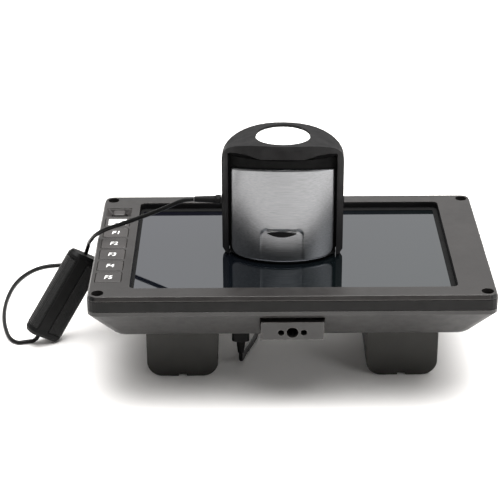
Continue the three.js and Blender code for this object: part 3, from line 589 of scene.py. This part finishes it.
# ---- pieces that stand for CAD nodes ------------------------------------------------------
def soften(node, body, look, width):
    """A smooth copy of a node with its edges rounded, in place of the node."""
    copy = bmesh.new()
    copy.from_mesh(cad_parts[node].data)
    bmesh.ops.remove_doubles(copy, verts=copy.verts[:], dist=0.002 * MM)
    bmesh.ops.dissolve_limit(copy, angle_limit=math.radians(0.6), verts=copy.verts[:], edges=copy.edges[:])
    mesh = bpy.data.meshes.new(f"{node}_skin")
    copy.to_mesh(mesh)
    copy.free()
    mesh.polygons.foreach_set("use_smooth", [True] * len(mesh.polygons))
    mesh.set_sharp_from_angle(angle=math.radians(CREASE))
    skin = add_object(f"{node}_skin", mesh)
    mesh.materials.append(look.material)
    bevel = skin.modifiers.new("rounding", "BEVEL")
    bevel.width = width * MM
    bevel.segments = 2
    bevel.limit_method = "ANGLE"
    bevel.angle_limit = math.radians(CREASE)
    bevel.harden_normals = True
    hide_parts(node)
    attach(skin, body)


def from_sensor(x, y, z):
    """A point in the colorimeter's frame, in millimetres, as a point in the scene."""
    turn = math.radians(SENSOR["turn"])
    return Vector((SENSOR["x"] + x * math.cos(turn) - y * math.sin(turn),
                   SENSOR["y"] + x * math.sin(turn) + y * math.cos(turn), GLASS + z)) * MM


def sensor_depth(x, z, out):
    """How far the colorimeter's bowed side stands from its middle, moved out by some distance."""
    share = z / SENSOR["height"]
    width, depth, side = (SENSOR_FOOT[k] + (SENSOR_HEAD[k] - SENSOR_FOOT[k]) * share + out
                          for k in ("width", "depth", "side"))
    radius = (width**2 + (depth - side) ** 2) / (2 * (depth - side))
    return math.sqrt(radius**2 - x**2) - radius + depth


def scoop_depth(x, z):
    """A thumb scoop that deepens towards its rounded top and runs out at the plate's foot."""
    corner, half = SCOOP["corner"], SCOOP["half"]
    dx, dz = abs(x) - (half - corner), z - (SCOOP["top"] - corner)
    inside = corner - math.hypot(max(dx, 0), max(dz, 0)) - min(max(dx, dz), 0)
    share = min(max(inside / SCOOP["rim"], 0), 1)
    rise = min(max((z - PLATE["low"]) / (SCOOP["top"] - PLATE["low"]), 0), 1)
    return share * share * (3 - 2 * share) * (SCOOP["foot"] + (1 - SCOOP["foot"]) * rise) * SCOOP["depth"]


def add_front_plate(look):
    """The brushed front plate, bowed and leaning like the case behind it, with its scoop."""
    half, corner, low = PLATE["half"], PLATE["corner"], PLATE["low"]
    columns, rows = 108, 100
    vertices, faces = [], []
    for layer, out in enumerate((PLATE["out"], PLATE["out"] - PLATE["thick"])):
        for i in range(columns + 1):
            x = half * (2 * i / columns - 1)
            bend = max(0, abs(x) - (half - corner))
            bottom = low + corner - math.sqrt(corner**2 - bend**2)
            top = PLATE["edge"] + (1 - (x / half) ** 2) * (PLATE["crown"] - PLATE["edge"])
            for j in range(rows + 1):
                z = bottom + (top - bottom) * j / rows
                inset = scoop_depth(x, z) if layer == 0 else 0
                edge = min(half - abs(x), z - bottom, top - z)
                inset += PLATE_ROUND * (1 - min(edge / PLATE_ROUND, 1)) ** 2 if layer == 0 else 0
                vertices.append(from_sensor(x, -(sensor_depth(x, z, out) - inset), z))
    count = rows + 1
    back = (columns + 1) * count
    for i in range(columns):
        for j in range(rows):
            a = i * count + j
            faces.append((a, a + count, a + count + 1, a + 1))
            faces.append((back + a, back + a + 1, back + a + count + 1, back + a + count))
    rim = list(range(count)) + [i * count + rows for i in range(1, columns + 1)]
    rim += [columns * count + j for j in range(rows - 1, -1, -1)]
    rim += [i * count for i in range(columns - 1, 0, -1)]
    for a, b in zip(rim, rim[1:] + rim[:1]):
        faces.append((a, b, back + b, back + a))
    plate = add_mesh("front_plate_skin", vertices, faces, smooth=True)
    plate.data.set_sharp_from_angle(angle=math.radians(40))
    plate.data.materials.append(look.material)
    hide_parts("front_plate")
    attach(plate, "monitor")


def add_plate_slot(dark, bright):
    """The lens-shaped mouth in the scoop: a black inlay that stands in for the shade inside the mouth
    (painted shade), with a bright lip under it.
    """
    steps = 32
    kinds = (("plate_slot", dark, "black", 0, 0.1), ("plate_slot_lip", bright, "silver", 0.4, 0.05))
    for name, look, slot, grow, proud in kinds:
        half = SLOT["half"] + grow
        vertices = []
        for i in range(steps + 1):
            x = half * (2 * i / steps - 1)
            bow = 0.04 + 1 - (x / half) ** 2
            upper = SLOT["z"] + bow * SLOT["rise"] * 0.75
            lower = SLOT["z"] - bow * (SLOT["rise"] * 1.25 + grow)
            for z, lift in ((upper, proud), (lower, proud), (lower, -0.3), (upper, -0.3)):
                depth = sensor_depth(x, z, PLATE["out"]) - scoop_depth(x, z) + lift
                vertices.append(from_sensor(x, -depth, z))
        faces = [(0, 1, 2, 3), (4 * steps + 3, 4 * steps + 2, 4 * steps + 1, 4 * steps)]
        for i in range(steps):
            for k in range(4):
                m = (k + 1) % 4
                faces.append((4 * i + k, 4 * (i + 1) + k, 4 * (i + 1) + m, 4 * i + m))
        inlay = add_mesh(name, vertices, faces)
        inlay.data.materials.append(look.material)
        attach(inlay, "monitor")


def add_side_strips(look):
    """Black strips on the case's narrow sides that the arm's legs slide past: painted shade, filling the
    gaps there with black where they lie in shade.
    """
    for name, side in (("side_strip_left", -1), ("side_strip_right", 1)):
        strip = bmesh.new()
        bmesh.ops.create_cube(strip, size=1)
        for v in strip.verts:
            x = side * (STRIP["outer"] if v.co.x * side > 0 else STRIP["inner"])
            v.co = from_sensor(x, v.co.y * STRIP["depth"], STRIP["low"] if v.co.z < 0 else STRIP["high"])
        bmesh.ops.bevel(strip, geom=strip.edges[:], offset=STRIP["round"] * MM, segments=2, affect="EDGES")
        bmesh.ops.recalc_face_normals(strip, faces=strip.faces[:])
        mesh = bpy.data.meshes.new(name)
        strip.to_mesh(mesh)
        strip.free()
        thing = add_object(name, mesh)
        mesh.materials.append(look.material)
        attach(thing, "monitor")


def ring_strip(name, rings, look):
    """A band between rings of equal numbers of points, each ring a list of points in metres."""
    count = len(rings[0])
    vertices = [point for ring in rings for point in ring]
    faces = []
    for r in range(len(rings)):
        below, above = r * count, (r + 1) % len(rings) * count
        for i in range(count):
            j = (i + 1) % count
            faces.append((below + i, below + j, above + j, above + i))
    band = add_mesh(name, vertices, faces)
    fix = bmesh.new()
    fix.from_mesh(band.data)
    bmesh.ops.recalc_face_normals(fix, faces=fix.faces[:])
    fix.to_mesh(band.data)
    fix.free()
    band.data.materials.append(look.material)
    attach(band, "monitor")


def rounded_ring(x0, x1, y0, y1, z, radius, steps=5):
    """A rounded rectangle at one height, in metres, from limits in millimetres."""
    points = []
    for cx, cy, start in ((x1 - radius, y1 - radius, 0), (x0 + radius, y1 - radius, 90),
                          (x0 + radius, y0 + radius, 180), (x1 - radius, y0 + radius, 270)):
        for i in range(steps + 1):
            angle = math.radians(start + 90 * i / steps)
            spot = Vector((cx + radius * math.cos(angle), cy + radius * math.sin(angle), z))
            points.append(spot * MM)
    return points


def add_screen_gasket(look):
    """The matte black surround of the picture, lying on the glass inside the bezel."""
    low, high = (Vector(corner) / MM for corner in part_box("cover_glass"))
    inset, outer_corner, inner_corner = (GASKET[key] for key in ("inset", "corner", "inner_corner"))
    x0, x1, y0, y1 = low.x + inset, high.x - inset, low.y + inset, high.y - inset
    inner = (x0 + GASKET["left"], x1 - GASKET["right"], y0 + GASKET["front"], y1 - GASKET["back"])
    over, under = GLASS + GASKET["over"], GLASS + GASKET["under"]
    rings = [rounded_ring(x0, x1, y0, y1, under, outer_corner),
             rounded_ring(x0, x1, y0, y1, over, outer_corner),
             rounded_ring(*inner, over, inner_corner), rounded_ring(*inner, under, inner_corner)]
    ring_strip("screen_gasket", rings, look)


def add_joystick_dish(look):
    """The sloping walls round the thumb stick."""
    low, high = (Vector(corner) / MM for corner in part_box("joystick_carrier"))
    middle = (low + high) / 2
    top, floor = TOP - DISH["top"], TOP - DISH["bottom"]

    def around(part, z):
        half_x, half_y = DISH[part]
        return rounded_ring(middle.x - half_x, middle.x + half_x, middle.y - half_y, middle.y + half_y, z,
                            DISH[f"{part}_corner"])

    under = floor - DISH["thick"]
    rings = [around("rim", top), around("floor", floor), around("floor", under), around("rim", under)]
    ring_strip("joystick_dish", rings, look)


# ---- stage --------------------------------------------------------------------------------
def add_floor(finish):
    half = 6
    corners = [(-half, -half, 0), (half, -half, 0), (half, half, 0), (-half, half, 0)]
    floor = add_mesh("floor", corners, [(0, 1, 2, 3)])
    floor.data.materials.append(finish.material)


def add_light(name, place, target, size, power):
    data = bpy.data.lights.new(name, "AREA")
    data.shape = "RECTANGLE"
    data.size, data.size_y = size
    data.energy = power
    light = add_object(name, data)
    light.location = place
    light.rotation_euler = (Vector(target) - Vector(place)).to_track_quat("-Z", "Y").to_euler()


def add_world():
    """A white backdrop that is dimmer on the side the object faces."""
    world = bpy.data.worlds.new("studio")
    world.use_nodes = True
    nodes, links = world.node_tree.nodes, world.node_tree.links
    seen = nodes["Background"]
    seen.inputs["Color"].default_value = (1, 1, 1, 1)
    seen.inputs["Strength"].default_value = 1.05
    lit = nodes.new("ShaderNodeBackground")
    place = nodes.new("ShaderNodeTexCoord")
    split = nodes.new("ShaderNodeSeparateXYZ")
    links.new(place.outputs["Generated"], split.inputs[0])
    span = nodes.new("ShaderNodeMapRange")
    for key, value in (("From Min", -0.6), ("From Max", 0.6), ("To Min", 0.1), ("To Max", 0.95)):
        span.inputs[key].default_value = value
    links.new(split.outputs["Y"], span.inputs["Value"])
    links.new(span.outputs["Result"], lit.inputs["Strength"])
    lit.inputs["Color"].default_value = (1, 0.99, 0.98, 1)
    rays = nodes.new("ShaderNodeLightPath")
    chosen = nodes.new("ShaderNodeMixShader")
    links.new(rays.outputs["Is Camera Ray"], chosen.inputs[0])
    links.new(lit.outputs[0], chosen.inputs[1])
    links.new(seen.outputs[0], chosen.inputs[2])
    links.new(chosen.outputs[0], nodes["World Output"].inputs["Surface"])
    bpy.context.scene.world = world


def floor_finish():
    finish = Finish("floor", 0.9)
    colour = finish.mixed(finish.ranged(finish.noise(3, 2), 0, 1), "#f4f2f0", "#f8f6f4")
    finish.link(colour, finish.shader.inputs["Base Color"])
    finish.shader.inputs["Specular IOR Level"].default_value = 0.1
    return finish


SOFTENED = {  # node: body, material slot, look, edge radius in millimetres
    "diffuser_arm": ("diffuser", "black", "arm", 0.5),
    "diffuser_disc": ("diffuser", "white", "white", 0.1),
    "sensor_shell": ("monitor", "black", "shell", 0.3),
    "rear_plate": ("monitor", "black", "shell", 0.2),
    "battery_left": ("pack_left", "battery", "battery", 0.4),
    "battery_right": ("pack_right", "battery", "battery", 0.4),
    "weight_front_shell": ("monitor", "rubber", "rubber", 0.25),
    "weight_rear_shell": ("monitor", "rubber", "rubber", 0.25),
    "weight_grip_left": ("monitor", "rubber", "grip", 0.2),
    "weight_grip_right": ("monitor", "rubber", "grip", 0.2),
    "cable_boot": ("monitor", "rubber", "rubber", 0.15),
}


# ---- scene --------------------------------------------------------------------------------
add_camera()
lead = add_lead()
tie = add_tie()
finishes = make_finishes()
for look, nodes in LOOKS.items():
    paint(nodes, finishes[look])
lead.data.materials.append(finishes["lead"].material)
tie.data.materials.append(finishes["tie"].material)
for number in range(1, 6):
    label = add_label(f"f{number}_button", f"F{number}", f"f{number}_key")
    label.data.materials.append(finishes["white"].material)
add_menu_icon().data.materials.append(finishes["white"].material)
for node, (body, slot, look, width) in SOFTENED.items():
    soften(node, body, finishes[look], width)
add_front_plate(finishes["silver"])
add_plate_slot(finishes["shell"], finishes["silver"])
add_side_strips(finishes["shell"])
add_screen_gasket(finishes["shell"])
add_joystick_dish(finishes["key"])
add_floor(floor_finish())
add_world()
add_light("key", (0.1, -0.1, 1.5), (0, 0, 0), (1.5, 1.4), 62)
add_light("side", (1.0, -0.7, 0.35), (0, 0, 0.05), (0.5, 0.7), 4)
bpy.context.scene.view_settings.view_transform = "Standard"
